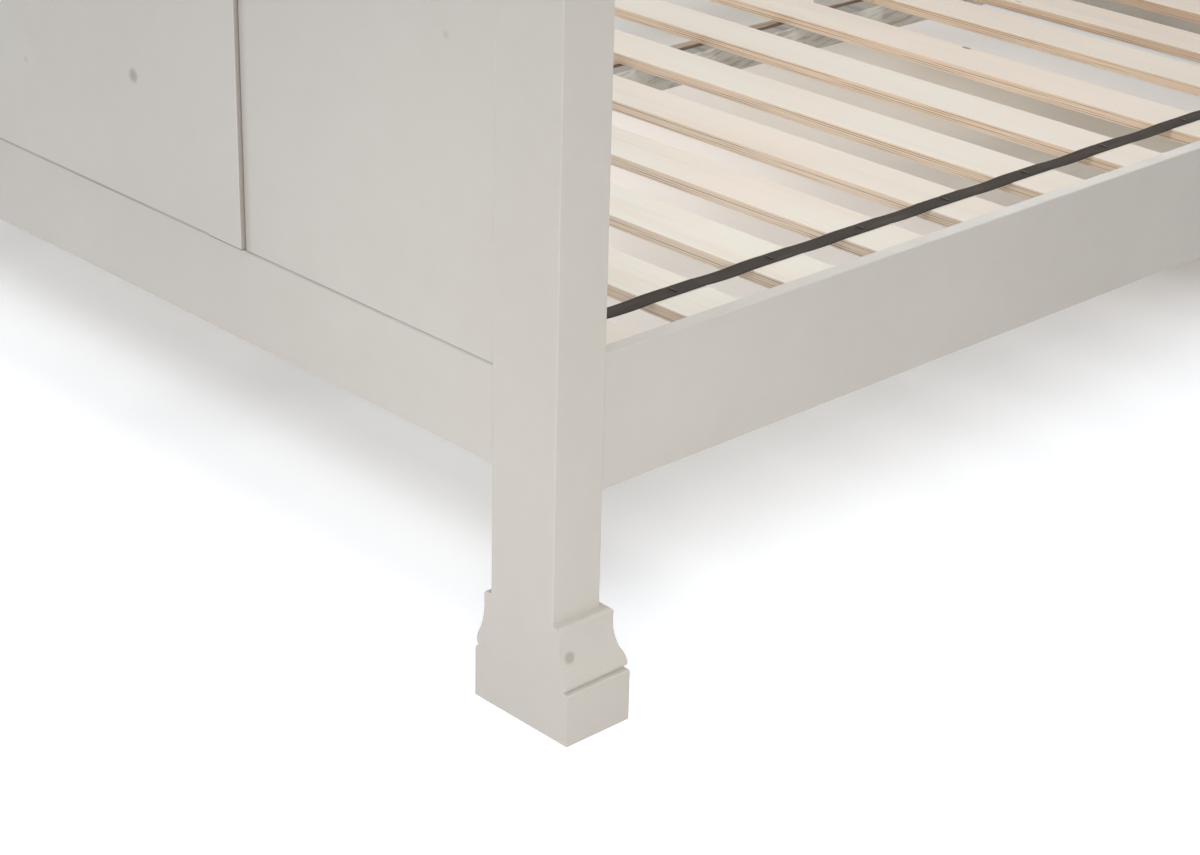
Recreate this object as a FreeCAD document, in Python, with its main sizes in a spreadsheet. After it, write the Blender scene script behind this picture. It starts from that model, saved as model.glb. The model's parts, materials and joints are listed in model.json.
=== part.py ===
import FreeCAD, Part
import math
import os

import Sketcher
from FreeCAD import Placement, Rotation, Vector

# King size painted bed frame with a panelled headboard and a low matching footboard.
# Millimetres, +Z up. The headboard stands at -Y and its flat back faces -Y.
# The origin is on the floor, in the middle of the whole frame.

SIZES = (
    # Mattress and the two side rails
    ("mattress_width", 1500),
    ("mattress_length", 2000),
    ("mattress_side_gap", 8.5),
    ("mattress_end_gap", 30),
    ("side_rail_height", 142),
    ("side_rail_thick", 18),
    ("side_rail_top", 395),
    ("edge_round", 1.5),
    ("flush_round", 0.4),
    # Posts and their moulded feet
    ("post_width", 90),
    ("post_depth", 62),
    ("headboard_post_top", 1150),
    ("footboard_post_top", 575),
    ("floor_clearance", 1),
    ("foot_height", 125),
    ("foot_side_overhang", 23.5),
    ("foot_front_overhang", 22),
    ("cap_height", 30),
    # Rails and panels of the two boards
    ("board_rail_thick", 30),
    ("headboard_bottom_rail_height", 105),
    ("footboard_bottom_rail_height", 215),
    ("bottom_rail_drop", 22),
    ("headboard_top_rail_height", 110),
    ("footboard_top_rail_height", 70),
    ("panel_thick", 18),
    ("centre_panel_proud", 5),
    ("side_panel_width", 394),
    ("panel_joint", 1),
    ("arris_round", 1.2),
    ("muntin_width", 80),
    ("lock_rail_height", 80),
    ("lock_rail_middle", 680),
    ("batten_height", 66),
    ("batten_middle", 502.5),
    ("batten_thick", 10),
    # Slats, their ledges and the two webbing tapes
    ("slat_drop", 35),
    ("slat_width", 75),
    ("slat_thick", 14),
    ("slat_end_gap", 0.5),
    ("slat_round", 0.8),
    ("first_slat_gap", 43),
    ("last_slat_gap", 36),
    ("ledge_width", 20),
    ("ledge_height", 30),
    ("ledge_end_gap", 1),
    ("tape_width", 23),
    ("tape_thick", 1),
    ("tape_inset", 118),
    ("tape_end", 5),
    ("staple_crown", 11),
    ("staple_leg", 6),
    ("staple_wire", 1.2),
    ("staple_clearance", 0.1),
    # Centre rail and its hangers
    ("centre_rail_width", 45),
    ("centre_rail_height", 40),
    ("centre_rail_end_gap", 1),
    ("hanger_thick", 2),
    ("hanger_depth", 35),
    ("hanger_ear", 24),
    ("hanger_clearance", 0.5),
    # Corner brackets, bolts, inserts, screws, plugs, dowels and glides
    ("bracket_thick", 3),
    ("bracket_low_gap", 6),
    ("bracket_rail_flange", 40),
    ("bracket_post_flange", 56),
    ("bracket_drop", 36),
    ("bolt_radius", 4),
    ("bolt_length", 50),
    ("bolt_head_radius", 7.2),
    ("bolt_head_height", 5.5),
    ("bolt_clearance", 0.3),
    ("bolt_end_inset", 20),
    ("bolt_offset", 34),
    ("insert_radius", 6.5),
    ("insert_length", 14),
    ("screw_radius", 2),
    ("screw_length", 22),
    ("screw_head_radius", 4),
    ("screw_head_height", 2.5),
    ("screw_clearance", 0.1),
    ("short_screw_length", 14),
    ("short_screw_spread", 20),
    ("short_screw_end_inset", 12),
    ("hanger_screw_rise", 11),
    ("plug_thick", 3),
    ("batten_screw_spread", 107),
    ("batten_screw_stagger", 16.5),
    ("lock_screw_inset", 69),
    ("muntin_screw_offset", 20),
    ("muntin_screw_end_inset", 50),
    ("ledge_screw_end_inset", 104),
    ("ledge_screw_sink", 9),
    ("foot_screw_height", 91.5),
    ("foot_screw_inset", 12),
    ("dowel_radius", 4),
    ("dowel_length", 30),
    ("dowel_clearance", 0.1),
    ("dowel_edge_inset", 20),
    ("glide_radius", 15),
    ("glide_thick", 4),
    ("overrun", 5),
)

LEDGE_SCREW_COUNT = 7
HEXAGON_SIDES = 6

# Tolerances of the checks and of the search for edges
SAME_POINT = 1e-6
LEAST_CUT_VOLUME = 1
ALONG_AXIS_SHARE = 0.99

# How far each slat lies past its even place, from the headboard on, as a share of the pitch
SLAT_SHIFT_SHARES = (0, 0, 0, 0, 0, 0, 0.04, 0.15, 0.36, 0.23, 0.33, 0.22, 0.11, 0)

# How far along the diagonal of its corner a quarter circle passes, as a share of its radius
ROUND_MIDDLE_SHARE = 1 - math.sqrt(0.5)

# How a sketch's constraints number its origin and the two ends of a line
ORIGIN_INDEX = -1
START_INDEX = 1
END_INDEX = 2

# Foot moulding, from its top ledge down: share of the overhang, share of the height,
# and for a curve the two shares of a point that the curve to the next corner goes through.
FOOT_PROFILE_SHARES = (
    (0.30, 1.00, 0.41, 0.985),
    (0.44, 0.955, None, None),
    (0.44, 0.86, 0.50, 0.76),
    (0.66, 0.655, 0.82, 0.595),
    (0.925, 0.515, None, None),
    (0.88, 0.490, None, None),
    (0.73, 0.475, None, None),
    (0.97, 0.452, None, None),
    (1.00, 0.435, None, None),
    (1.00, 0.00, None, None),
)

# Cap moulding on top of each board, from its top down.
CAP_PROFILE_SHARES = (
    (0.92, 1.00, 0.977, 0.977),
    (1.00, 0.92, None, None),
    (1.00, 0.62, None, None),
    (0.88, 0.58, 0.62, 0.46),
    (0.50, 0.18, None, None),
    (0.34, 0.18, None, None),
    (0.34, 0.00, None, None),
)

INTO = {
    "+x": Rotation(Vector(0, 1, 0), 90),
    "-x": Rotation(Vector(0, 1, 0), -90),
    "+y": Rotation(Vector(1, 0, 0), -90),
    "-y": Rotation(Vector(1, 0, 0), 90),
    "+z": Rotation(),
    "-z": Rotation(Vector(1, 0, 0), 180),
}


class Size:
    """A length worked out from the sheet: its number and the expression that gives it."""

    def __init__(self, text, number):
        self.text = text
        self.number = number

    def __add__(self, other):
        other = as_size(other)
        return Size(f"({self.text} + {other.text})", self.number + other.number)

    def __sub__(self, other):
        other = as_size(other)
        return Size(f"({self.text} - {other.text})", self.number - other.number)

    def __mul__(self, factor):
        return Size(f"({self.text} * {factor:.6g})", self.number * factor)

    def __truediv__(self, divisor):
        return Size(f"({self.text} / {divisor:.6g})", self.number / divisor)

    def __neg__(self):
        return Size(f"(0 - {self.text})", -self.number)


def as_size(value):
    if isinstance(value, Size):
        return value
    return Size(f"({value:.6g})", float(value))


nodes = {}
brackets = []
wood_screws = []
short_screws = []
bolts = []
inserts = []
dowels = []
glides = []
plugs = []
foot_plugs = []

doc = FreeCAD.newDocument("bed_frame")
sheet = doc.addObject("Spreadsheet::Sheet", "sizes")
for row, (alias, value) in enumerate(SIZES, start=1):
    sheet.set(f"A{row}", alias)
    sheet.set(f"B{row}", str(value))
    sheet.setAlias(f"B{row}", alias)
doc.recompute()


def named(alias):
    return Size(f"sizes.{alias}", float(getattr(sheet, alias)))


ZERO = as_size(0)


def bind(thing, path, size):
    thing.setExpression(path, as_size(size).text)


def place(thing, x, y, z, turn="+z"):
    thing.Placement = Placement(Vector(0, 0, 0), INTO[turn])
    for axis, size in (("x", x), ("y", y), ("z", z)):
        bind(thing, f"Placement.Base.{axis}", size)


def keep(name, thing):
    thing.Label = name
    nodes[name] = thing


# Sketches and bodies


def origin_plane(body, role):
    return next(feature for feature in body.Origin.OriginFeatures if feature.Role == role)


def closed_sketch(body, name, role, corners):
    """A closed outline. Each corner is (across, up, through across, through up)."""
    sketch = body.newObject("Sketcher::SketchObject", name)
    sketch.AttachmentSupport = [(origin_plane(body, role), "")]
    sketch.MapMode = "FlatFace"
    points = [Vector(across.number, up.number, 0) for across, up, _, _ in corners]
    count = len(corners)
    for index, (_, _, through_across, through_up) in enumerate(corners):
        start = points[index]
        end = points[(index + 1) % count]
        if through_across is None:
            sketch.addGeometry(Part.LineSegment(start, end), False)
        else:
            middle = Vector(through_across.number, through_up.number, 0)
            clockwise = (middle - start).cross(end - start).z < 0
            arc = Part.Arc(end, middle, start) if clockwise else Part.Arc(start, middle, end)
            sketch.addGeometry(arc, False)
    starts = []
    for geometry, point in zip(sketch.Geometry, points):
        begins_here = geometry.StartPoint.distanceToPoint(point) < SAME_POINT
        starts.append(START_INDEX if begins_here else END_INDEX)
    for index in range(count):
        following = (index + 1) % count
        end_side = END_INDEX if starts[index] == START_INDEX else START_INDEX
        joint = Sketcher.Constraint("Coincident", index, end_side, following, starts[following])
        sketch.addConstraint(joint)
    for index, (across, up, through_across, through_up) in enumerate(corners):
        fix_point(sketch, index, starts[index], across, up)
        if through_across is not None:
            middle = Vector(through_across.number, through_up.number, 0)
            mark = sketch.addGeometry(Part.Point(middle), True)
            sketch.addConstraint(Sketcher.Constraint("PointOnObject", mark, START_INDEX, index))
            fix_point(sketch, mark, START_INDEX, through_across, through_up)
    return sketch


def fix_point(sketch, geometry, side, across, up):
    for kind, size in (("DistanceX", across), ("DistanceY", up)):
        constraint = Sketcher.Constraint(kind, ORIGIN_INDEX, START_INDEX, geometry, side,
                                         size.number)
        index = sketch.addConstraint(constraint)
        sketch.setExpression(f"Constraints[{index}]", size.text)


def straight(points):
    return [(as_size(across), as_size(up), None, None) for across, up in points]


def rectangle(left, bottom, right, top):
    return straight([(left, bottom), (right, bottom), (right, top), (left, top)])


def rounded_rectangle(width, depth, radii):
    """A rectangle from the origin. Its radii go anticlockwise from the corner at the origin."""
    corners = ((ZERO, ZERO, 1, 1), (width, ZERO, -1, 1), (width, depth, -1, -1),
               (ZERO, depth, 1, -1))
    outline = []
    for index, ((across, up, right, ahead), radius) in enumerate(zip(corners, radii)):
        on_level_side = (across + radius * right, up)
        on_upright_side = (across, up + radius * ahead)
        middle = (across + radius * (right * ROUND_MIDDLE_SHARE),
                  up + radius * (ahead * ROUND_MIDDLE_SHARE))
        if index % 2:
            outline.append(on_level_side + middle)
            outline.append(on_upright_side + (None, None))
        else:
            outline.append(on_upright_side + middle)
            outline.append(on_level_side + (None, None))
    return outline


def pad(body, sketch, length, reverse=False):
    feature = body.newObject("PartDesign::Pad", "Pad")
    feature.Profile = sketch
    feature.Reversed = reverse
    bind(feature, "Length", length)
    return feature


def pocket(body, sketch, length, reverse=False):
    before = body.Tip.Shape.Volume
    feature = body.newObject("PartDesign::Pocket", "Pocket")
    feature.Profile = sketch
    feature.Reversed = reverse
    bind(feature, "Length", length)
    doc.recompute()
    if feature.Shape.Volume > before - LEAST_CUT_VOLUME:
        raise RuntimeError(f"{body.Label}: the pocket removes nothing")
    return feature


def round_edges(body, base, radius, axes):
    """Round the straight edges of a blank that run along the given axes."""
    doc.recompute()
    names = []
    for index, edge in enumerate(base.Shape.Edges, start=1):
        along = edge.Vertexes[1].Point - edge.Vertexes[0].Point
        along.normalize()
        parts = {"x": abs(along.x), "y": abs(along.y), "z": abs(along.z)}
        if any(parts[axis] > ALONG_AXIS_SHARE for axis in axes):
            names.append(f"Edge{index}")
    feature = body.newObject("PartDesign::Fillet", "Fillet")
    feature.Base = (base, names)
    bind(feature, "Radius", radius)
    return feature


def plank(name, low, size, radius=None, axes=""):
    """A plain board from its low corner and its three sizes, with rounded long edges."""
    body = doc.addObject("PartDesign::Body", name)
    body.Label = name
    sketch = closed_sketch(body, "Outline", "XY_Plane", rectangle(ZERO, ZERO, size[0], size[1]))
    board = pad(body, sketch, size[2])
    if radius is not None:
        round_edges(body, board, radius, axes)
    place(body, *low)
    doc.recompute()
    return body


def moulded_block(name, width, depth, height, profile_shares, low):
    """A block with a moulding on both ends and on its front, mitred at the corners."""
    body = doc.addObject("PartDesign::Body", name)
    body.Label = name
    side = named("foot_side_overhang")
    front = named("foot_front_overhang")
    overrun = named("overrun")
    right, left, ahead = [], [], []
    for across, up, via_across, via_up in profile_shares:
        if via_across is None:
            right.append((side + width + side * across, height * up, None, None))
            ahead.append((depth + front * across, height * up, None, None))
        else:
            right.append((side + width + side * across, height * up,
                          side + width + side * via_across, height * via_up))
            ahead.append((depth + front * across, height * up,
                          depth + front * via_across, height * via_up))
    for index in range(len(profile_shares) - 1, -1, -1):
        across, up = profile_shares[index][:2]
        via_across, via_up = profile_shares[index - 1][2:] if index else (None, None)
        corner = (side - side * across, height * up)
        if via_across is None:
            left.append(corner + (None, None))
        else:
            left.append(corner + (side - side * via_across, height * via_up))
    outline = closed_sketch(body, "Section", "XZ_Plane", right + left)
    pad(body, outline, depth + front, reverse=True)
    doc.recompute()
    foot_of_profile = ahead[-1][0]
    waste = ahead + straight([
        (foot_of_profile, -overrun),
        (depth + front + overrun, -overrun),
        (depth + front + overrun, height + overrun),
        (ahead[0][0], height + overrun),
    ])
    beyond = closed_sketch(body, "FrontWaste", "YZ_Plane", waste)
    bind(beyond, "AttachmentOffset.Base.z", -overrun)
    pocket(body, beyond, width + side * 2 + overrun * 2, reverse=True)
    place(body, *low)
    doc.recompute()
    return body


# Holes shared by a fastener and every piece it passes through


def bore(radius, length, x, y, z, turn):
    cylinder = doc.addObject("Part::Cylinder", "Bore")
    bind(cylinder, "Radius", radius)
    bind(cylinder, "Height", length)
    place(cylinder, x, y, z, turn)
    return cylinder


def stepped_bore(head_radius, head_depth, radius, length, x, y, z, turn):
    hole = doc.addObject("Part::Fuse", "SteppedBore")
    hole.Base = bore(head_radius, head_depth, x, y, z, turn)
    hole.Tool = bore(radius, length, x, y, z, turn)
    return hole


def cut_holes(name, blank, holes):
    """The finished piece: its blank with the given holes cut out."""
    blank.Label = name + "_blank"
    tools = doc.addObject("Part::Compound", "Holes")
    tools.Links = holes
    piece = doc.addObject("Part::Cut", name)
    piece.Base = blank
    piece.Tool = tools
    return piece


def drilled(name, blank, holes):
    keep(name, cut_holes(name, blank, holes))


def group(name, shapes):
    """Separate identical solids in one node."""
    feature = doc.addObject("Part::Feature", name)
    feature.Shape = Part.makeCompound(shapes)
    keep(name, feature)


def spot(x, y, z, turn):
    return Placement(Vector(x.number, y.number, z.number), INTO[turn])


# Places that follow from the sizes

rail_length = named("mattress_length") + named("mattress_end_gap")
rail_inner = named("mattress_width") / 2 + named("mattress_side_gap")
post_outer = rail_inner + named("side_rail_thick")
post_inner = post_outer - named("post_width")
board_span = post_inner * 2
whole_length = (named("centre_panel_proud") + named("post_depth") * 2 + rail_length
                + named("foot_front_overhang"))
head_back = named("centre_panel_proud") - whole_length / 2
head_front = head_back + named("post_depth")
foot_back = head_front + rail_length
floor_gap = named("floor_clearance")
side_rail_top = named("side_rail_top")
side_rail_low = side_rail_top - named("side_rail_height")
board_rail_thick = named("board_rail_thick")
bottom_rail_top = side_rail_top - named("bottom_rail_drop")
slat_top = side_rail_top - named("slat_drop")
slat_low = slat_top - named("slat_thick")
bracket_low = side_rail_low + named("bracket_low_gap")
bracket_top = side_rail_top - named("bracket_drop")
edge_round = named("edge_round")
arris = named("arris_round")
panel_joint = named("panel_joint")
panel_seam = post_inner - named("side_panel_width")
muntin_thick = board_rail_thick - named("panel_thick")

LEFT_AND_RIGHT = (("left", -1), ("right", 1))
post_holes = {(board, side): [] for board in ("headboard", "footboard")
              for side, _ in LEFT_AND_RIGHT}
rail_holes = {(board, rail): [] for board in ("headboard", "footboard")
              for rail in ("bottom", "top")}


def covered_sink():
    """How deep a wood screw's head sits below a surface that a filler plug makes good."""
    return named("screw_head_height") + named("plug_thick")


def wood_screw(x, y, z, turn, sink):
    """A stepped hole for one wood screw whose head is sunk into the surface."""
    clearance = named("screw_clearance")
    wood_screws.append((spot(x, y, z, turn), sink))
    return stepped_bore(named("screw_head_radius") + clearance, sink + clearance,
                        named("screw_radius") + clearance,
                        sink + named("screw_length") + clearance, x, y, z, turn)


def covered_screw(x, y, z, turn):
    """A wood screw sunk below a surface, with a plug of filler over its head."""
    plugs.append(spot(x, y, z, turn))
    return wood_screw(x, y, z, turn, covered_sink())


def short_screw(x, y, z, turn):
    clearance = named("screw_clearance")
    short_screws.append(spot(x, y, z, turn))
    length = named("short_screw_length") + clearance
    return bore(named("screw_radius") + clearance, length, x, y, z, turn)


def dowel(x, y, z, turn):
    clearance = named("dowel_clearance")
    dowels.append(spot(x, y, z, turn))
    return bore(named("dowel_radius") + clearance, named("dowel_length"), x, y, z, turn)


# Boards: posts, feet, rails, panels and caps


def mirrored(size, sign):
    return size if sign > 0 else -size


def low_x(inner, outer, sign):
    """The lower X of a span that runs from inner to outer on one side."""
    return inner if sign > 0 else -outer


def turn_out(sign):
    return "+x" if sign > 0 else "-x"


def turn_in(sign):
    return "-x" if sign > 0 else "+x"


def foot_wall(height_share):
    """The share of the overhang that the foot moulding has at a share of its height."""
    corners = [(up, across) for across, up, _, _ in FOOT_PROFILE_SHARES]
    for (up_a, across_a), (up_b, across_b) in zip(corners, corners[1:]):
        if up_a >= height_share >= up_b:
            step = (up_a - height_share) / (up_a - up_b)
            return across_a + (across_b - across_a) * step
    return 1.0


def foot_screws(sign, back, moulding):
    """Screws through the side walls and the front wall of one moulded foot."""
    height = floor_gap + named("foot_screw_height")
    share = foot_wall(named("foot_screw_height").number / named("foot_height").number)
    side_wall = named("foot_side_overhang") * share
    front_wall = named("foot_front_overhang") * share
    middle = mirrored((post_outer + post_inner) / 2, sign)
    along = back + named("foot_screw_inset")
    outer_x = mirrored(post_outer + side_wall, sign)
    inner_x = mirrored(post_inner - side_wall, sign)
    front_y = back + named("post_depth") + front_wall
    return [
        foot_screw(outer_x, along, height, turn_in(sign), moulding),
        foot_screw(inner_x, along, height, turn_out(sign), moulding),
        foot_screw(middle, front_y, height, "-y", moulding),
    ]


def foot_screw(x, y, z, turn, moulding):
    """A sunk hole that starts outside the sloping moulding, so that it clears it."""
    clearance = named("screw_clearance")
    sink = covered_sink()
    wood_screws.append((spot(x, y, z, turn), sink))
    overrun = named("overrun")
    out = {"-x": (1, 0), "+x": (-1, 0), "-y": (0, 1)}[turn]
    start_x = x + overrun * out[0]
    start_y = y + overrun * out[1]
    foot_plugs.append((spot(start_x, start_y, z, turn), moulding))
    return stepped_bore(named("screw_head_radius") + clearance, overrun + sink + clearance,
                        named("screw_radius") + clearance,
                        overrun + sink + named("screw_length") + clearance,
                        start_x, start_y, z, turn)


def post_blank(name, sign, back, post_top, outer_edges):
    """A post with square edges inside its moulding. Above, the edges that meet a flush rail
    or panel are just broken. The outer edges, from the front one on, have the given radii."""
    body = doc.addObject("PartDesign::Body", name)
    body.Label = name
    width = named("post_width")
    depth = named("post_depth")
    front_outer, back_outer = outer_edges
    radii = [named("flush_round"), back_outer, front_outer, edge_round]
    if sign < 0:
        radii = [back_outer, named("flush_round"), edge_round, front_outer]
    shaft = closed_sketch(body, "Section", "XY_Plane", rounded_rectangle(width, depth, radii))
    pad(body, shaft, post_top - floor_gap)
    doc.recompute()
    base = closed_sketch(body, "BaseSection", "XY_Plane", rectangle(ZERO, ZERO, width, depth))
    pad(body, base, named("foot_height"))
    place(body, low_x(post_inner, post_outer, sign), back, floor_gap)
    doc.recompute()
    return body


def frame_end(prefix, back, outer_edges):
    """One board: two posts on moulded feet, bottom rail, top rail and cap."""
    frame_y = back + board_rail_thick / 2
    depth = named("post_depth")
    post_top = named(f"{prefix}_post_top")
    top_rail_height = named(f"{prefix}_top_rail_height")
    top_rail_low = post_top - top_rail_height
    bottom_rail_height = named(f"{prefix}_bottom_rail_height")
    bottom_rail_low = bottom_rail_top - bottom_rail_height
    for side, sign in LEFT_AND_RIGHT:
        holes = post_holes[prefix, side]
        moulding = foot_blank(f"{prefix}_foot_{side}", sign, back)
        screws = foot_screws(sign, back, moulding)
        for rail, low, high in (("bottom", bottom_rail_low, bottom_rail_top),
                                ("top", top_rail_low, post_top)):
            for height in (low + named("dowel_edge_inset"), high - named("dowel_edge_inset")):
                start = mirrored(post_inner - named("dowel_length") / 2, sign)
                hole = dowel(start, frame_y, height, turn_out(sign))
                holes.append(hole)
                rail_holes[prefix, rail].append(hole)
        post = post_blank(f"{prefix}_post_{side}", sign, back, post_top, outer_edges)
        middle = mirrored((post_inner + post_outer) / 2, sign)
        glide_seat = bore(named("glide_radius"), named("glide_thick"),
                          middle, back + depth / 2, ZERO, "+z")
        glides.append(spot(middle, back + depth / 2, ZERO, "+z"))
        drilled(f"{prefix}_post_{side}", post, holes + screws + [glide_seat])
        drilled(f"{prefix}_foot_{side}", moulding, screws)
    rail_size = (board_span, board_rail_thick)
    bottom = plank(f"{prefix}_bottom_rail", (-post_inner, back, bottom_rail_low),
                   rail_size + (bottom_rail_height,), arris, "x")
    drilled(f"{prefix}_bottom_rail", bottom, rail_holes[prefix, "bottom"])
    top = plank(f"{prefix}_top_rail", (-post_inner, back, top_rail_low),
                rail_size + (top_rail_height,), arris, "x")
    drilled(f"{prefix}_top_rail", top, rail_holes[prefix, "top"])
    cap = moulded_block(f"{prefix}_cap", post_outer * 2, depth, named("cap_height"),
                        CAP_PROFILE_SHARES,
                        (-post_outer - named("foot_side_overhang"), back, post_top))
    keep(f"{prefix}_cap", cap)


def foot_blank(name, sign, back):
    """The moulding wraps three sides of the post and is flat at the back."""
    side = named("foot_side_overhang")
    low = (low_x(post_inner, post_outer, sign) - side, back, floor_gap)
    body = moulded_block(name, named("post_width"), named("post_depth"), named("foot_height"),
                         FOOT_PROFILE_SHARES, low)
    channel = closed_sketch(body, "PostChannel", "XY_Plane", rectangle(
        side, -named("overrun"), side + named("post_width"), named("post_depth")))
    pocket(body, channel, named("foot_height") + named("overrun"), reverse=True)
    return body


# Side rails with their ledges, corner brackets, bolts and dowels


def corner_bracket(sign, post_face, toward):
    """A steel angle: one flange on the side rail, the other on the post."""
    body = doc.addObject("PartDesign::Body", "Bracket")
    thick = named("bracket_thick")
    along = named("bracket_rail_flange")
    across = named("bracket_post_flange")
    corners = straight([
        (ZERO, ZERO),
        (mirrored(-across, sign), ZERO),
        (mirrored(-across, sign), thick * toward),
        (mirrored(-thick, sign), thick * toward),
        (mirrored(-thick, sign), along * toward),
        (ZERO, along * toward),
    ])
    sketch = closed_sketch(body, "Angle", "XY_Plane", corners)
    pad(body, sketch, bracket_top - bracket_low)
    place(body, mirrored(rail_inner, sign), post_face, bracket_low)
    doc.recompute()
    return body


def corner(prefix, side, sign, post_face, toward):
    """Everything that joins one end of a side rail to its post."""
    into_post = "-y" if toward > 0 else "+y"
    thick = named("bracket_thick")
    clearance = named("bolt_clearance")
    bracket = corner_bracket(sign, post_face, toward)
    bracket_holes = []
    side_rail_holes = []
    for height in (bracket_low + named("bolt_end_inset"),
                   bracket_top - named("bolt_end_inset")):
        across = mirrored(rail_inner - named("bolt_offset"), sign)
        start = post_face + thick * toward
        passage = bore(named("bolt_radius") + clearance, named("bolt_length") + clearance,
                       across, start, height, into_post)
        seat = bore(named("insert_radius") + named("screw_clearance"), named("insert_length"),
                    across, post_face, height, into_post)
        hole = doc.addObject("Part::Fuse", "InsertBore")
        hole.Base = passage
        hole.Tool = seat
        bolts.append(spot(across, start, height, into_post))
        inserts.append(spot(across, post_face, height, into_post))
        bracket_holes.append(passage)
        post_holes[prefix, side].append(hole)
    for height in (bracket_low + named("short_screw_end_inset"),
                   bracket_top - named("short_screw_end_inset")):
        along = post_face + (thick + named("short_screw_spread")) * toward
        start = mirrored(rail_inner - thick, sign)
        screw = short_screw(start, along, height, turn_out(sign))
        bracket_holes.append(screw)
        side_rail_holes.append(screw)
    brackets.append(cut_holes(f"bracket_{prefix}_{side}", bracket, bracket_holes))
    across = mirrored(rail_inner + named("side_rail_thick") / 2, sign)
    for height in (side_rail_low + named("dowel_edge_inset"),
                   side_rail_top - named("dowel_edge_inset")):
        start = post_face - named("dowel_length") / 2 * toward
        hole = dowel(across, start, height, "+y" if toward > 0 else "-y")
        side_rail_holes.append(hole)
        post_holes[prefix, side].append(hole)
    return side_rail_holes


def side_rails():
    ledge_low = slat_low - named("ledge_height")
    reach = named("bracket_rail_flange") + named("ledge_end_gap")
    ledge_length = rail_length - reach * 2
    for side, sign in LEFT_AND_RIGHT:
        holes = corner("headboard", side, sign, head_front, 1)
        holes += corner("footboard", side, sign, foot_back, -1)
        ledge_screws = []
        pitch = (ledge_length - named("ledge_screw_end_inset") * 2) / (LEDGE_SCREW_COUNT - 1)
        for index in range(LEDGE_SCREW_COUNT):
            along = head_front + reach + named("ledge_screw_end_inset") + pitch * index
            start = mirrored(rail_inner - named("ledge_width"), sign)
            height = ledge_low + named("ledge_height") / 2
            ledge_screws.append(wood_screw(start, along, height, turn_out(sign),
                                           named("ledge_screw_sink")))
        rail = plank(f"side_rail_{side}",
                     (low_x(rail_inner, post_outer, sign), head_front, side_rail_low),
                     (named("side_rail_thick"), rail_length, named("side_rail_height")),
                     edge_round, "y")
        drilled(f"side_rail_{side}", rail, holes + ledge_screws)
        ledge = plank(f"slat_ledge_{side}",
                      (low_x(rail_inner - named("ledge_width"), rail_inner, sign),
                       head_front + reach, ledge_low),
                      (named("ledge_width"), ledge_length, named("ledge_height")))
        drilled(f"slat_ledge_{side}", ledge, ledge_screws)


# Panels of the headboard and the footboard


def headboard_panels():
    """Three back panels carried by the rails, two muntins, a lock rail and a batten."""
    top = named("headboard_post_top") - named("headboard_top_rail_height")
    lock_screws = []
    for side, sign in LEFT_AND_RIGHT:
        lock_screw = covered_screw((post_inner - named("lock_screw_inset")) * sign, head_back,
                                   named("lock_rail_middle"), "+y")
        lock_screws.append(lock_screw)
        muntin_screws = headboard_muntin(side, sign, top)
        panel = plank(f"headboard_panel_{side}",
                      (low_x(panel_seam + panel_joint, post_inner, sign), head_back,
                       bottom_rail_top),
                      (named("side_panel_width") - panel_joint, named("panel_thick"),
                       top - bottom_rail_top), arris, "xz")
        drilled(f"headboard_panel_{side}", panel, [lock_screw] + muntin_screws)
    headboard_lock_rail(lock_screws)
    centre_back = head_back - named("centre_panel_proud")
    centre = plank("headboard_panel_centre", (-panel_seam, centre_back, bottom_rail_top),
                   (panel_seam * 2, named("panel_thick") + named("centre_panel_proud"),
                    top - bottom_rail_top), arris, "xz")
    batten_screws = []
    for sign in (-1, 1):
        height = named("batten_middle") + named("batten_screw_stagger") * sign
        batten_screws.append(covered_screw(named("batten_screw_spread") * sign, centre_back,
                                           height, "+y"))
    drilled("headboard_panel_centre", centre, batten_screws)
    batten_low = named("batten_middle") - named("batten_height") / 2
    batten = plank("headboard_batten", (-post_inner, head_back + named("panel_thick"), batten_low),
                   (board_span, named("batten_thick"), named("batten_height")))
    drilled("headboard_batten", batten, batten_screws)


def headboard_muntin(side, sign, top):
    """An upright strip that covers the seam between two panels, above the lock rail."""
    low = named("lock_rail_middle") + named("lock_rail_height") / 2
    screws = []
    across = panel_seam + panel_joint + named("muntin_screw_offset")
    for height in (low + named("muntin_screw_end_inset"), top - named("muntin_screw_end_inset")):
        screws.append(covered_screw(across * sign, head_back, height, "+y"))
    muntin = plank(f"headboard_muntin_{side}",
                   (panel_seam * sign - named("muntin_width") / 2,
                    head_back + named("panel_thick"), low),
                   (named("muntin_width"), muntin_thick, top - low), arris, "z")
    drilled(f"headboard_muntin_{side}", muntin, screws)
    return screws


def headboard_lock_rail(lock_screws):
    """The rail across the front of the panels, under the muntins."""
    low = named("lock_rail_middle") - named("lock_rail_height") / 2
    lock_rail = plank("headboard_lock_rail",
                      (-post_inner, head_back + named("panel_thick"), low),
                      (board_span, muntin_thick, named("lock_rail_height")), arris, "x")
    drilled("headboard_lock_rail", lock_rail, lock_screws)


def footboard_panel():
    """One wide panel behind two muntins, flush with the back of its rails."""
    top = named("footboard_post_top") - named("footboard_top_rail_height")
    height = top - bottom_rail_top
    keep("footboard_panel", plank("footboard_panel", (-post_inner, foot_back, bottom_rail_top),
                                  (board_span, named("panel_thick"), height), arris, "x"))
    for side, sign in LEFT_AND_RIGHT:
        low = (panel_seam * sign - named("muntin_width") / 2,
               foot_back + named("panel_thick"), bottom_rail_top)
        keep(f"footboard_muntin_{side}",
             plank(f"footboard_muntin_{side}", low,
                   (named("muntin_width"), muntin_thick, height), arris, "z"))


# Slats, tapes and staples


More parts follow.
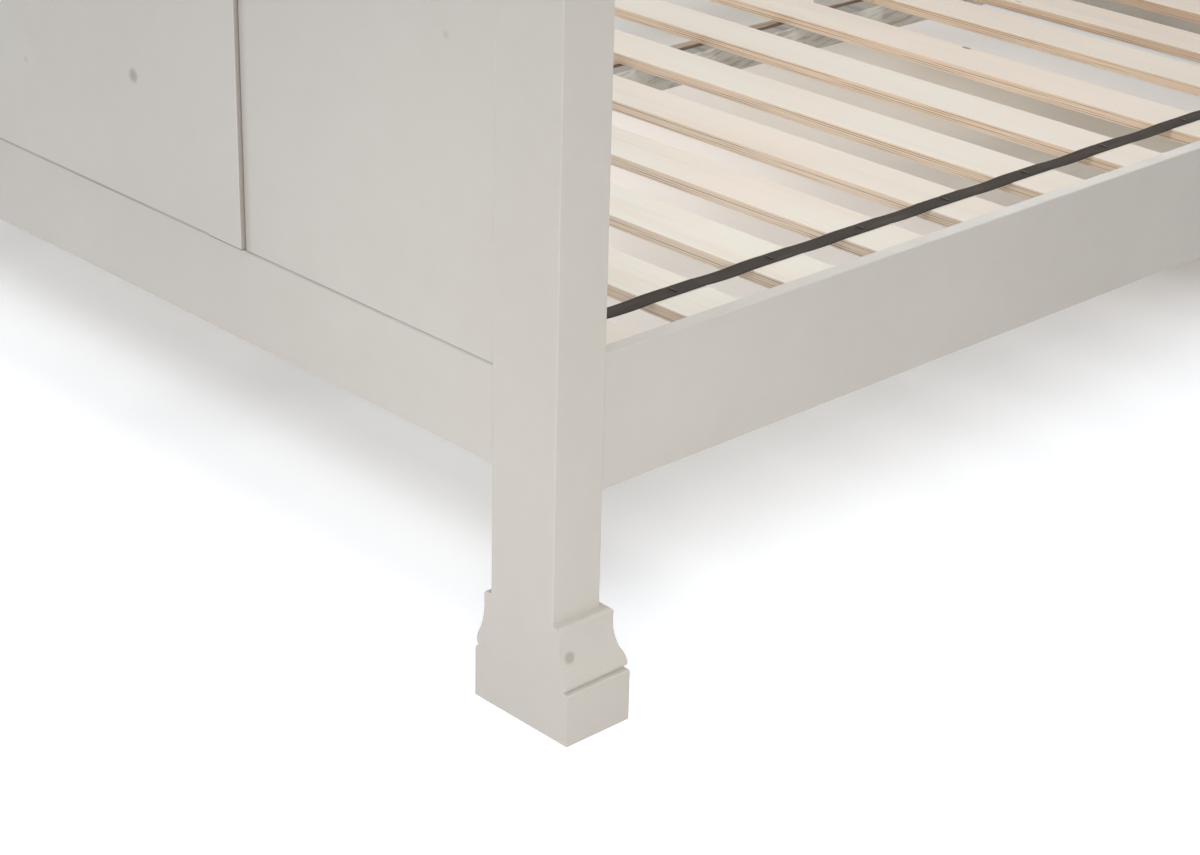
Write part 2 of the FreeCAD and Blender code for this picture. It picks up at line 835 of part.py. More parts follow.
def slats_and_tapes():
    """Plywood slats on the ledges, held in line by two stapled webbing tapes."""
    last_index = len(SLAT_SHIFT_SHARES) - 1
    pitch = (rail_length - named("first_slat_gap") - named("last_slat_gap")
             - named("slat_width")) / last_index
    half = rail_inner - named("bracket_thick") - named("slat_end_gap")
    tape_x = rail_inner - named("tape_inset")
    first = head_front + named("first_slat_gap")
    last = first + pitch * last_index
    wire = named("staple_wire")
    clearance = named("staple_clearance")
    staples = []
    tape_holes = {-1: [], 1: []}
    for index, shift_share in enumerate(SLAT_SHIFT_SHARES):
        along = first + pitch * (index + shift_share)
        name = f"slat_{index + 1:02d}"
        slots = []
        for sign in (-1, 1):
            centre = tape_x * sign
            middle = along + named("slat_width") / 2
            staples.append(staple(centre, middle))
            for step in (-1, 1):
                inner = centre + (named("staple_crown") / 2 - wire / 2) * step
                slot = doc.addObject("Part::Box", "StapleSlot")
                bind(slot, "Length", wire + clearance * 2)
                bind(slot, "Width", wire + clearance * 2)
                bind(slot, "Height", named("staple_leg") + named("tape_thick") + named("overrun"))
                place(slot, inner - wire / 2 - clearance, middle - wire / 2 - clearance,
                      slat_top - named("staple_leg") - clearance)
                slots.append(slot)
                tape_holes[sign].append(slot)
        slat = plank(name, (-half, along, slat_low),
                     (half * 2, named("slat_width"), named("slat_thick")),
                     named("slat_round"), "x")
        drilled(name, slat, slots)
    for side, sign in LEFT_AND_RIGHT:
        tape = plank(f"slat_tape_{side}",
                     (tape_x * sign - named("tape_width") / 2, first - named("tape_end"), slat_top),
                     (named("tape_width"), last - first + named("slat_width")
                      + named("tape_end") * 2, named("tape_thick")))
        drilled(f"slat_tape_{side}", tape, tape_holes[sign])
    group("tape_staples", staples)


def staple(centre, middle):
    """A flat crown across the tape with two legs down into the slat."""
    wire = named("staple_wire").number
    crown = named("staple_crown").number
    leg = named("staple_leg").number + named("tape_thick").number
    low = slat_top.number - named("staple_leg").number
    start = Vector(centre.number - crown / 2, middle.number - wire / 2, low + leg)
    shape = Part.makeBox(crown, wire, wire, start)
    for shift in (0, crown - wire):
        shape = shape.fuse(Part.makeBox(wire, wire, leg, start + Vector(shift, 0, -leg)))
    return shape.removeSplitter()


# Centre rail and its hangers


def hanger(name, wall, toward, screws):
    """A steel cradle on one board's bottom rail that the centre rail drops into."""
    body = doc.addObject("PartDesign::Body", name)
    thick = named("hanger_thick")
    inner = named("centre_rail_width") / 2 + named("hanger_clearance")
    outer = inner + thick
    rise = named("centre_rail_height") + thick
    plate = closed_sketch(body, "Plate", "XZ_Plane", rectangle(
        -outer - named("hanger_ear"), ZERO, outer + named("hanger_ear"), rise))
    pad(body, plate, thick, reverse=toward > 0)
    doc.recompute()
    cradle = closed_sketch(body, "Cradle", "XZ_Plane", straight([
        (-outer, ZERO), (outer, ZERO), (outer, rise), (inner, rise),
        (inner, thick), (-inner, thick), (-inner, rise), (-outer, rise)]))
    pad(body, cradle, named("hanger_depth"), reverse=toward > 0)
    place(body, ZERO, wall, slat_low - named("centre_rail_height") - thick)
    doc.recompute()
    drilled(name, body, screws)


def hanger_screws(wall, toward):
    into_wall = "-y" if toward > 0 else "+y"
    middle = slat_low - named("centre_rail_height") / 2
    across = (named("centre_rail_width") / 2 + named("hanger_clearance") + named("hanger_thick")
              + named("hanger_ear") / 2)
    holes = []
    for sign in (-1, 1):
        for step in (-1, 1):
            holes.append(short_screw(across * sign, wall + named("hanger_thick") * toward,
                                     middle + named("hanger_screw_rise") * step, into_wall))
    return holes


def centre_support():
    """The centre rail, dropped into a hanger at each end."""
    head_wall = head_back + board_rail_thick
    width = named("centre_rail_width")
    rail_low = slat_low - named("centre_rail_height")
    start = head_wall + named("hanger_thick") + named("centre_rail_end_gap")
    end = foot_back - named("hanger_thick") - named("centre_rail_end_gap")
    keep("centre_rail", plank("centre_rail", (-width / 2, start, rail_low),
                              (width, end - start, named("centre_rail_height"))))
    for board, name, wall, toward in (("headboard", "hanger_head", head_wall, 1),
                                      ("footboard", "hanger_foot", foot_back, -1)):
        screws = hanger_screws(wall, toward)
        hanger(name, wall, toward, screws)
        rail_holes[board, "bottom"] += screws


# Fasteners, each a group of separate solids


def screw_shape(length, head_low):
    """A round head on a shank that points along +Z, starting under the head."""
    head_height = named("screw_head_height").number
    head = Part.makeCylinder(named("screw_head_radius").number, head_height,
                             Vector(0, 0, head_low))
    shank = Part.makeCylinder(named("screw_radius").number, length,
                              Vector(0, 0, head_low + head_height))
    return head.fuse(shank).removeSplitter()


def bolt_shape():
    """A hexagon head on a shank that points along +Z."""
    radius = named("bolt_head_radius").number
    corners = []
    for step in range(HEXAGON_SIDES + 1):
        angle = 2 * math.pi * step / HEXAGON_SIDES
        corners.append(Vector(radius * math.cos(angle), radius * math.sin(angle), 0))
    head = Part.Face(Part.makePolygon(corners)).extrude(
        Vector(0, 0, -named("bolt_head_height").number))
    shank = Part.makeCylinder(named("bolt_radius").number, named("bolt_length").number)
    return head.fuse(shank).removeSplitter()


def insert_shape():
    """A threaded sleeve, with its thread left out."""
    length = named("insert_length").number
    sleeve = Part.makeCylinder(named("insert_radius").number, length)
    thread_radius = (named("bolt_radius") + named("screw_clearance")).number
    return sleeve.cut(Part.makeCylinder(thread_radius, length))


def dowel_shape():
    gap = named("dowel_clearance").number
    length = named("dowel_length").number - gap * 2
    return Part.makeCylinder(named("dowel_radius").number, length, Vector(0, 0, gap))


def set_at(shape, where):
    copy = shape.copy()
    copy.Placement = where
    return copy


def fasteners():
    """Screws, bolts, inserts, dowels, glides and plugs, each kind a group of solids."""
    screw_length = named("screw_length").number
    head_height = named("screw_head_height").number
    group("wood_screws", [set_at(screw_shape(screw_length, sink.number - head_height), where)
                          for where, sink in wood_screws])
    short_length = named("short_screw_length").number
    group("bracket_screws", [set_at(screw_shape(short_length, -head_height), where)
                             for where in short_screws])
    group("frame_bolts", [set_at(bolt_shape(), where) for where in bolts])
    group("bolt_inserts", [set_at(insert_shape(), where) for where in inserts])
    group("frame_dowels", [set_at(dowel_shape(), where) for where in dowels])
    glide = Part.makeCylinder(named("glide_radius").number, named("glide_thick").number)
    group("floor_glides", [set_at(glide, where) for where in glides])
    plug_radius = named("screw_head_radius").number
    plug = Part.makeCylinder(plug_radius, named("plug_thick").number)
    long_plug = Part.makeCylinder(plug_radius, (named("overrun") + named("plug_thick")).number)
    plug_solids = [set_at(plug, where) for where in plugs]
    for where, moulding in foot_plugs:
        plug_solids.append(set_at(long_plug, where).common(moulding.Shape))
    group("filler_plugs", plug_solids)


side_rails()
centre_support()
frame_end("headboard", head_back, (named("flush_round"), edge_round))
frame_end("footboard", foot_back, (edge_round, named("flush_round")))
headboard_panels()
footboard_panel()
slats_and_tapes()
doc.recompute()
group("corner_brackets", [bracket.Shape for bracket in brackets])
fasteners()
doc.recompute()

for thing in doc.Objects:
    if "Invalid" in thing.State or "Error" in thing.State:
        raise RuntimeError(f"{thing.Label} failed: {thing.State}")
for name, thing in nodes.items():
    if thing.Shape.isNull() or not thing.Shape.isValid():
        raise RuntimeError(f"{name} has no valid shape")

os.makedirs("parts", exist_ok=True)
for name, thing in nodes.items():
    thing.Shape.exportStep(f"parts/{name}.step")
print(len(nodes), "sub-parts")
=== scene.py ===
import json
import math

import bmesh
import bpy
from mathutils import Matrix, Vector, noise


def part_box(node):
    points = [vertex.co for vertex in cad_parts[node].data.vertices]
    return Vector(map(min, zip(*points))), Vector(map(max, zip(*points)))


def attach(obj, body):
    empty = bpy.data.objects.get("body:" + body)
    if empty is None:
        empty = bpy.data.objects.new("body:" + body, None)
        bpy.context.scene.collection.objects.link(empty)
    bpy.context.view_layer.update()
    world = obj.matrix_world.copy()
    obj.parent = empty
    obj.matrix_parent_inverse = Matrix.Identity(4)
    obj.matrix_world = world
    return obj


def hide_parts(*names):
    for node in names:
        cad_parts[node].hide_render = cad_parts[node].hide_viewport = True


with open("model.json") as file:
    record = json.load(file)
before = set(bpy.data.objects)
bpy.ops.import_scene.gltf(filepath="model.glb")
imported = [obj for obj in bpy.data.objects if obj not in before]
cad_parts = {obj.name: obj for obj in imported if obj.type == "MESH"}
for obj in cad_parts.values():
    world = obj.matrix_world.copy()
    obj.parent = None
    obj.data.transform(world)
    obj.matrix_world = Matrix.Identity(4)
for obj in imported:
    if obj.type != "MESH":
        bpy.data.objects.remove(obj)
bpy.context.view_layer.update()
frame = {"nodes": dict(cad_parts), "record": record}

# A painted bed frame with raw plywood slats. Metres, +Z up, the headboard at -Y.

MM = 0.001


def add_object(name, data):
    """A new object in the scene's own collection."""
    thing = bpy.data.objects.new(name, data)
    bpy.context.scene.collection.objects.link(thing)
    return thing


# Camera

IMAGE_WIDTH_PX = 1200
FOCAL_LENGTH_PX = 2683
SENSOR_WIDTH_MM = 36
CAMERA_PLACE = (2.4479, -2.6339, 1.3831)
CAMERA_HEADING = math.radians(46.157)
CAMERA_DIP = math.radians(24.62)
CAMERA_ROLL = math.radians(1.48)
CLIP_END = 200


def add_camera():
    """The camera that was fitted to the photographed edges."""
    camera = bpy.data.cameras.new("camera")
    camera.sensor_width = SENSOR_WIDTH_MM
    camera.lens = FOCAL_LENGTH_PX / IMAGE_WIDTH_PX * SENSOR_WIDTH_MM
    camera.clip_end = CLIP_END
    thing = add_object("camera", camera)
    turn = (Matrix.Rotation(CAMERA_HEADING, 4, "Z")
            @ Matrix.Rotation(math.pi / 2 - CAMERA_DIP, 4, "X")
            @ Matrix.Rotation(CAMERA_ROLL, 4, "Z"))
    thing.matrix_world = Matrix.Translation(CAMERA_PLACE) @ turn
    bpy.context.scene.camera = thing


# Materials, written as nested calls on a node tree

# How far a normal points up or down on an upright face, at most, and on a level one, at least
UPRIGHT_FACE = 0.55
LEVEL_FACE = 0.8


class Finish:
    """A node material on object coordinates, in metres. The scale of a pattern is per metre."""

    def __init__(self, name):
        self.material = bpy.data.materials.new(name)
        self.material.use_nodes = True
        tree = self.material.node_tree
        self.nodes = tree.nodes
        self.links = tree.links
        self.shader = self.nodes["Principled BSDF"]
        self.place = self.nodes.new("ShaderNodeTexCoord").outputs["Object"]
        self.x, self.y, self.z = self.split(self.place)

    def feed(self, socket, value):
        """Links another node's output to the socket, or sets a number or a colour."""
        if isinstance(value, bpy.types.NodeSocket):
            self.links.new(value, socket)
        elif socket.type == "RGBA":
            socket.default_value = (*value, 1)
        else:
            socket.default_value = value

    def split(self, vector):
        node = self.nodes.new("ShaderNodeSeparateXYZ")
        self.feed(node.inputs[0], vector)
        return node.outputs[:]

    def join(self, x, y, z):
        node = self.nodes.new("ShaderNodeCombineXYZ")
        for socket, value in zip(node.inputs, (x, y, z)):
            self.feed(socket, value)
        return node.outputs[0]

    def calc(self, operation, *values):
        node = self.nodes.new("ShaderNodeMath")
        node.operation = operation
        for socket, value in zip(node.inputs, values):
            self.feed(socket, value)
        return node.outputs[0]

    def chain(self, operation, values):
        """One operation over all the values in turn."""
        total = values[0]
        for value in values[1:]:
            total = self.calc(operation, total, value)
        return total

    def add(self, *values):
        return self.chain("ADD", values)

    def times(self, *values):
        return self.chain("MULTIPLY", values)

    def most(self, *values):
        return self.chain("MAXIMUM", values)

    def minus(self, a, b):
        return self.calc("SUBTRACT", a, b)

    def over(self, a, b):
        return self.calc("DIVIDE", a, b)

    def absolute(self, value):
        return self.calc("ABSOLUTE", value)

    def length(self, *parts):
        """The length of a vector with these parts."""
        return self.calc("SQRT", self.add(*[self.times(part, part) for part in parts]))

    def distance(self, point):
        return self.length(*map(self.minus, (self.x, self.y, self.z), point))

    def wave(self, value, pitch):
        return self.calc("SINE", self.times(value, 2 * math.pi / pitch))

    def steps(self, value, low, high, out_low=0.0, out_high=1.0):
        """A smooth step from out_low at low to out_high at high."""
        node = self.nodes.new("ShaderNodeMapRange")
        node.interpolation_type = "SMOOTHSTEP"
        for socket, number in zip(node.inputs, (value, low, high, out_low, out_high)):
            self.feed(socket, number)
        return node.outputs[0]

    def falls(self, value, low, high):
        """A smooth step from 1 at low to 0 at high."""
        return self.steps(value, low, high, 1.0, 0.0)

    def band(self, value, start, stop):
        """1 between two smooth steps, each given by the pair of values where it begins and ends."""
        return self.times(self.steps(value, *start), self.falls(value, *stop))

    def swing(self, pattern, width):
        """A pattern of 0 to 1 turned into one of that width about 0."""
        return self.times(self.minus(pattern, 0.5), width)

    def blend(self, first, second, share):
        """Two patterns added: the first by its share, the second by the rest."""
        return self.add(self.times(first, share), self.times(second, 1 - share))

    def stretched(self, parts, scales):
        """A vector from these parts, each times its scale."""
        return self.join(*map(self.times, parts, scales))

    def scaled(self, scales, shift=0.0):
        """Object coordinates times a scale per axis, moved by shift in X and Y."""
        x, y, z = map(self.times, (self.x, self.y, self.z), scales)
        return self.join(self.add(x, shift), self.add(y, shift), z)

    def cloud(self, vector, detail=3.0, roughness=0.5, scale=1.0):
        """Soft noise of 0 to 1."""
        node = self.nodes.new("ShaderNodeTexNoise")
        self.feed(node.inputs["Vector"], vector)
        self.feed(node.inputs["Scale"], scale)
        self.feed(node.inputs["Detail"], detail)
        self.feed(node.inputs["Roughness"], roughness)
        return node.outputs["Fac"]

    def chance(self, vector):
        """One random number per whole-number vector."""
        node = self.nodes.new("ShaderNodeTexWhiteNoise")
        node.noise_dimensions = "3D"
        self.feed(node.inputs["Vector"], vector)
        return node.outputs["Value"]

    def mix(self, share, a, b):
        """Colour a with its share of colour b."""
        node = self.nodes.new("ShaderNodeMix")
        node.data_type = "RGBA"
        for name, value in (("Factor", share), ("A", a), ("B", b)):
            self.feed(node.inputs[name], value)
        return node.outputs["Result"]

    def stain(self, colour, tint, pattern, start, end, strength=1.0):
        """The colour, tinted as the pattern goes from start to end."""
        return self.mix(self.steps(pattern, start, end, 0.0, strength), colour, tint)

    def facing_up(self):
        """1 on level faces, 0 on upright ones."""
        normal = self.nodes.new("ShaderNodeNewGeometry").outputs["Normal"]
        return self.steps(self.absolute(self.split(normal)[2]), UPRIGHT_FACE, LEVEL_FACE)

    def bump(self, height, depth, strength):
        node = self.nodes.new("ShaderNodeBump")
        node.inputs["Strength"].default_value = strength
        node.inputs["Distance"].default_value = depth
        self.feed(node.inputs["Height"], height)
        self.feed(self.shader.inputs["Normal"], node.outputs[0])

    def set(self, **values):
        """The material, with these inputs of its shader fed."""
        for name, value in values.items():
            self.feed(self.shader.inputs[name.replace("_", " ")], value)
        return self.material


# Paint

PAINT = (0.62, 0.595, 0.555)
PAINT_SHADE = (0.585, 0.555, 0.515)
FILLER_SHADE = (0.33, 0.30, 0.26)
SOFT_EDGE = 1 * MM

# Shade over the filled screws: core and edge radius, and strength. One of them is bold.
FAINT_SPOT = (2.5 * MM, 5.5 * MM, 0.22)
FOOT_SPOT = (3.5 * MM, 8.5 * MM, 0.62)
BOLD_SPOT = (3 * MM, 11 * MM, 0.75)
BOLD_PLACE = Vector((0.107, -1.089, 0.519))
BOLD_REACH = 0.03
SPOT_RAGGED = 2 * MM
WELD_REACH = 0.01 * MM

# Painted shade in the joints: how far it goes in from the headboard's back, and how near to the
# posts.
# Below, a pair holds where a step begins and where it ends.
JOINT_SHADE = (0.20, 0.175, 0.15)
JOINT_DEPTH = 15 * MM
POST_GAP = 0.5 * MM

# The painted shade line above the bottom rail, from low to top. On the centre panel it is lifted,
# and less so past the break, where it is also stronger. It gets weaker towards the near side.
RAIL_LINE_LOW = (-3 * MM, -2.3 * MM)
RAIL_LINE_TOP = (0.2 * MM, 0.8 * MM)
RAIL_LINE_LIFT = 3 * MM
RAIL_LINE_NEAR_LIFT = 1.6 * MM
RAIL_LINE_BREAK = (0.235, 0.237)
RAIL_LINE_FADE = (0.1, 0.4)
RAIL_LINE_FAR_STRENGTH = 0.38
RAIL_LINE_NEAR_STRENGTH = 0.10
RAIL_LINE_BREAK_STRENGTH = 0.4
RAIL_LINE_UNEVEN = 0.35

# Painted shade at the upright seams, by the distance past the centre panel's edge: on the panel's
# own narrow side, in the dark line beside it and in a fringe that fades out
SEAM_SIDE = (-0.4 * MM, -0.2 * MM), (0.2 * MM, 0.4 * MM)
SEAM_SIDE_STRENGTH = 0.42
SEAM_LINE = (0.4 * MM, 0.7 * MM), (2 * MM, 3 * MM)
SEAM_LINE_STRENGTH = 0.75
FRINGE_START = (0.4 * MM, 1 * MM)
FRINGE_REACH = 16 * MM
FRINGE_STRENGTH = 0.32


def connected(start):
    """The first vertex and all that edges join to it."""
    island = [start]
    seen = {start}
    for vert in island:
        for edge in vert.link_edges:
            other = edge.other_vert(vert)
            if other not in seen:
                seen.add(other)
                island.append(other)
    return island


def solid_centres(node):
    """The middle of each separate solid in a CAD node."""
    mesh = bmesh.new()
    mesh.from_mesh(frame["nodes"][node].data)
    bmesh.ops.remove_doubles(mesh, verts=mesh.verts, dist=WELD_REACH)
    seen = set()
    centres = []
    for start in mesh.verts:
        if start not in seen:
            island = connected(start)
            seen.update(island)
            centres.append(sum((vert.co for vert in island), Vector()) / len(island))
    mesh.free()
    return centres


def spot_kind(centre):
    """The core and edge radius and the strength of the shade over a filled screw."""
    if (centre - BOLD_PLACE).length < BOLD_REACH:
        return BOLD_SPOT
    on_foot = centre.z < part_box("headboard_foot_right")[1].z
    return FOOT_SPOT if on_foot else FAINT_SPOT


def screw_shade(f):
    """The shade over all filled screws."""
    ragged = f.swing(f.cloud(f.place, scale=260.0), SPOT_RAGGED)
    spots = []
    for centre in solid_centres("filler_plugs"):
        core, edge, strength = spot_kind(centre)
        spots.append(f.steps(f.add(f.distance(centre), ragged), core, edge, strength, 0.0))
    return f.most(*spots)


def rail_line_shade(f, across, seam, joint):
    """The painted shade line above the bottom rail, uneven along its length."""
    on_centre = f.falls(across, seam, seam + SOFT_EDGE)
    lift = f.steps(across, *RAIL_LINE_BREAK, RAIL_LINE_LIFT, RAIL_LINE_NEAR_LIFT)
    rise = f.minus(f.z, f.add(joint, f.times(lift, on_centre)))
    past_break = f.steps(across, *RAIL_LINE_BREAK)
    strength = f.add(f.steps(f.x, *RAIL_LINE_FADE, RAIL_LINE_FAR_STRENGTH, RAIL_LINE_NEAR_STRENGTH),
                     f.times(past_break, on_centre, RAIL_LINE_BREAK_STRENGTH),
                     f.times(f.cloud(f.place, detail=2.0, scale=9.0), RAIL_LINE_UNEVEN))
    return f.times(f.band(rise, RAIL_LINE_LOW, RAIL_LINE_TOP), strength)


def seam_shade(f, past):
    """Painted shade at the upright seams between the centre panel and the side panels."""
    fringe = f.times(f.steps(past, *FRINGE_START),
                     f.steps(past, 0.0, FRINGE_REACH, FRINGE_STRENGTH, 0.0))
    return f.most(f.times(f.band(past, *SEAM_SIDE), SEAM_SIDE_STRENGTH),
                  f.times(f.band(past, *SEAM_LINE), SEAM_LINE_STRENGTH),
                  fringe)


def joint_shade(f):
    """The painted shade along the joints of the headboard's back."""
    centre_low, centre_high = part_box("headboard_panel_centre")
    seam = centre_high.x
    joint = centre_low.z
    inner = centre_low.y + JOINT_DEPTH
    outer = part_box("headboard_post_right")[0].x - POST_GAP
    across = f.absolute(f.x)
    behind = f.times(f.falls(f.y, inner, inner + SOFT_EDGE),
                     f.falls(across, outer - SOFT_EDGE, outer))
    above = f.steps(f.z, joint - SOFT_EDGE, joint)
    seams = f.times(seam_shade(f, f.minus(across, seam)), above)
    return f.times(behind, f.most(rail_line_shade(f, across, seam, joint), seams))


def paint_finish():
    """Satin paint, sprayed on primed board, darker over the filled screws, with painted shade in the
    joints.
    """
    f = Finish("grey_paint")
    broad = f.cloud(f.place, detail=2.0, scale=2.6)
    fine = f.cloud(f.place, detail=4.0, roughness=0.6, scale=34.0)
    tone = f.blend(broad, fine, share=0.75)
    colour = f.stain(PAINT, PAINT_SHADE, tone, start=0.3, end=0.7)
    colour = f.mix(screw_shade(f), colour, FILLER_SHADE)
    # Painted shade in the joints of the headboard's back
    colour = f.mix(joint_shade(f), colour, JOINT_SHADE)
    spray = f.cloud(f.place, detail=2.0, scale=620.0)
    roll = f.cloud(f.place, detail=2.0, scale=70.0)
    f.bump(f.blend(spray, roll, share=0.35), depth=0.12 * MM, strength=0.35)
    patches = f.cloud(f.place, detail=3.0, scale=18.0)
    rough = f.steps(patches, low=0.2, high=0.8, out_low=0.42, out_high=0.54)
    return f.set(Base_Color=colour, Roughness=rough, Specular_IOR_Level=0.42)


# Plywood

SLAT_FACE = (0.88, 0.845, 0.765)
SLAT_FACE_WARM = (0.85, 0.755, 0.65)
SLAT_BLUSH = (0.90, 0.79, 0.685)
SLAT_GRAIN = (0.74, 0.655, 0.55)
PLY_LONG = (0.97, 0.82, 0.65)
PLY_CROSS = (0.88, 0.67, 0.48)
PLY_BLUSH = (0.96, 0.74, 0.58)
PLY_PAINTED_LIGHT = (0.98, 0.87, 0.75)
PLY_BROWN = (0.50, 0.33, 0.21)
PLY_GLUE = (0.20, 0.105, 0.05)

# Along the bed the face gets warmer, the edges lose their pale share of painted light, then turn
# brown
PALE_ZONE = (-0.75, 0.1)
PALE_SHARE = 0.7
BROWN_ZONE = (0.05, 0.55)
BROWN_SHARE = 0.6

# How much the place along the bed, the patch and the slat itself warm the face
PLACE_WARMTH = 0.3
PATCH_WARMTH = 0.6
SLAT_WARMTH = 0.15

# What sets the slats apart: how far before the first one its zone starts, and how far the
# patterns and the plies are moved at most
SLAT_MARGIN = 5 * MM
SLAT_SEED = (3.0, 7.0)
PATTERN_SHIFT = 37.0
PLY_SHIFT = 0.2

# The patterns on the slats, as scales in X, Y and Z
STREAK_SCALES = (1.6, 210.0, 1.0)
FLAME_SCALES = (1.1, 22.0, 1.0)
PATCH_SCALES = (2.2, 9.0, 1.0)
BLOTCH_SCALES = (5.0, 16.0, 1.0)
WOBBLE_SCALES = (3.0, 1.0, 1.0)
BLUSH_SCALES = (6.0, 1.0, 160.0)

# The plies: their number, how far they stray in plies, how much of the cross colour a cross ply
# has, how uneven that is, and the scales of their grain in X, from ply to ply and in Z
PLY_COUNT = 5
PLY_WOBBLE = 0.3
PLY_CROSS_SHARE = 0.75
PLY_UNEVEN = 0.5
PLY_SEED = 1.0
PLY_GRAIN_SCALES = (9.0, 5.0, 500.0)

# The glue lines: their half width in plies, the zone of the slat's thickness that has them, and
# the pattern that breaks them off along X, another one on each line
GLUE_STRENGTH = 0.85
GLUE_HALF_WIDTH = (0.07, 0.17)
GLUE_ZONE_START = (0.06, 0.12)
GLUE_ZONE_STOP = (0.88, 0.94)
GLUE_BREAK = (0.44, 0.56)
GLUE_BREAK_SCALE = 3.2
GLUE_LINE_SPREAD = 9.0

# How high the face's streaks, the plies' slopes and the grain stand in the relief
FACE_RELIEF = 0.5
PLY_RELIEF = 0.4
GRAIN_RELIEF = 0.3

# Knots in the face veneer: X, Y, half width and strength; each is longer along the grain, and
# its edge is given in half widths
KNOT = (0.24, 0.14, 0.07)
KNOT_STRETCH = 2.6
KNOT_RAGGED = 0.9
KNOT_EDGE = (0.55, 1.15)
KNOTS = ((0.267, 0.1225, 3.5 * MM, 0.85), (0.165, 0.3605, 3 * MM, 0.4))


def slat_number(f):
    """A whole number that goes up by one with each pitch of the slats."""
    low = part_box("slat_01")[0]
    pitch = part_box("slat_02")[0].y - low.y
    return f.calc("FLOOR", f.over(f.minus(f.y, low.y - SLAT_MARGIN), pitch))


def knotted(f, colour):
    """The face veneer with its knots."""
    ragged = f.swing(f.cloud(f.place, detail=2.0, scale=300.0), KNOT_RAGGED)
    for knot_x, knot_y, half_width, strength in KNOTS:
        across = f.over(f.minus(f.y, knot_y), half_width)
        with_grain = f.over(f.minus(f.x, knot_x), half_width * KNOT_STRETCH)
        reach = f.add(f.length(across, with_grain), ragged)
        colour = f.mix(f.steps(reach, *KNOT_EDGE, strength, 0.0), colour, KNOT)
    return colour


def face_colour(f, slat_chance, shift, streaks):
    """The face veneer: warm patches, blotches, fine and broad grain, and knots."""
    patches = f.cloud(f.scaled(PATCH_SCALES, shift), detail=1.0)
    blotches = f.cloud(f.scaled(BLOTCH_SCALES, shift), detail=2.0)
    flame = f.cloud(f.scaled(FLAME_SCALES, shift), detail=3.0, roughness=0.55)
    warmth = f.add(f.times(patches, PATCH_WARMTH), f.times(slat_chance, SLAT_WARMTH),
                   f.steps(f.y, *PALE_ZONE, 0.0, PLACE_WARMTH))
    colour = f.stain(SLAT_FACE, SLAT_FACE_WARM, warmth, start=0.25, end=0.8)
    colour = f.stain(colour, SLAT_BLUSH, blotches, start=0.46, end=0.66, strength=0.5)
    colour = f.stain(colour, SLAT_GRAIN, streaks, start=0.52, end=0.75, strength=0.30)
    colour = f.stain(colour, SLAT_GRAIN, flame, start=0.56, end=0.66, strength=0.22)
    return knotted(f, colour)


def ply_colour(f, number, layer, grain, shift):
    """The sawn edge without its glue lines: plies along and across in turn."""
    cross = f.times(f.calc("PINGPONG", layer, 1.0), PLY_CROSS_SHARE)
    uneven = f.swing(f.chance(f.join(number, layer, PLY_SEED)), PLY_UNEVEN)
    blush = f.cloud(f.scaled(BLUSH_SCALES, shift), detail=2.0)
    colour = f.mix(f.add(cross, uneven), PLY_LONG, PLY_CROSS)
    colour = f.stain(colour, PLY_CROSS, grain, start=0.35, end=0.7, strength=0.45)
    colour = f.stain(colour, PLY_BLUSH, blush, start=0.42, end=0.62, strength=0.75)
    # Paler edges near the headboard: painted light
    colour = f.mix(f.steps(f.y, *PALE_ZONE, PALE_SHARE, 0.0), colour, PLY_PAINTED_LIGHT)
    return f.stain(colour, PLY_BROWN, f.y, *BROWN_ZONE, BROWN_SHARE)


def glue_lines(f, height, ply, shift):
    """The glue lines between plies, broken along their length."""
    line = f.calc("ROUND", ply)
    near_line = f.falls(f.absolute(f.minus(ply, line)), *GLUE_HALF_WIDTH)
    along = f.add(f.times(f.x, GLUE_BREAK_SCALE), shift)
    pattern = f.cloud(f.join(along, f.times(line, GLUE_LINE_SPREAD), 0.0), detail=2.0)
    unbroken = f.steps(pattern, *GLUE_BREAK)
    within = f.band(height, GLUE_ZONE_START, GLUE_ZONE_STOP)
    return f.times(near_line, unbroken, within, GLUE_STRENGTH)


def plywood_finish():
    """Raw plywood: a pale face veneer on level faces and plies with glue lines on the edges."""
    f = Finish("plywood")
    low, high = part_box("slat_01")
    number = slat_number(f)
    slat_chance = f.chance(f.join(number, *SLAT_SEED))
    shift = f.times(slat_chance, PATTERN_SHIFT)
    streaks = f.cloud(f.scaled(STREAK_SCALES, shift), detail=5.0, roughness=0.62)
    height = f.over(f.minus(f.z, low.z), high.z - low.z)
    wobble = f.swing(f.cloud(f.scaled(WOBBLE_SCALES, shift), detail=2.0), PLY_WOBBLE)
    ply = f.add(f.times(height, PLY_COUNT), wobble, f.times(slat_chance, PLY_SHIFT))
    layer = f.calc("FLOOR", ply)
    along, by_layer, up = map(f.times, (f.x, layer, f.z), PLY_GRAIN_SCALES)
    grain = f.cloud(f.join(f.add(along, shift), by_layer, up), detail=4.0)
    edge = f.mix(glue_lines(f, height, ply, shift),
                 ply_colour(f, number, layer, grain, shift), PLY_GLUE)
    level = f.facing_up()
    colour = f.mix(level, edge, face_colour(f, slat_chance, shift, streaks))
    relief = f.add(f.times(streaks, level, FACE_RELIEF),
                   f.times(f.minus(1.0, level), f.calc("FRACT", ply), PLY_RELIEF),
                   f.times(grain, GRAIN_RELIEF))
    f.bump(relief, depth=0.15 * MM, strength=0.5)
    rough = f.steps(streaks, low=0.2, high=0.8, out_low=0.6, out_high=0.75)
    return f.set(Base_Color=colour, Roughness=rough, Specular_IOR_Level=0.3)


# Planed timber: the pale and the dark colour of each kind, and how fine the rings and pores are

PINE = (0.62, 0.46, 0.30), (0.47, 0.31, 0.18)
BEECH = (0.60, 0.42, 0.27), (0.45, 0.29, 0.17)
RINGS_ACROSS = 55.0
RINGS_ALONG = 1.5
PORE_FINENESS = 9


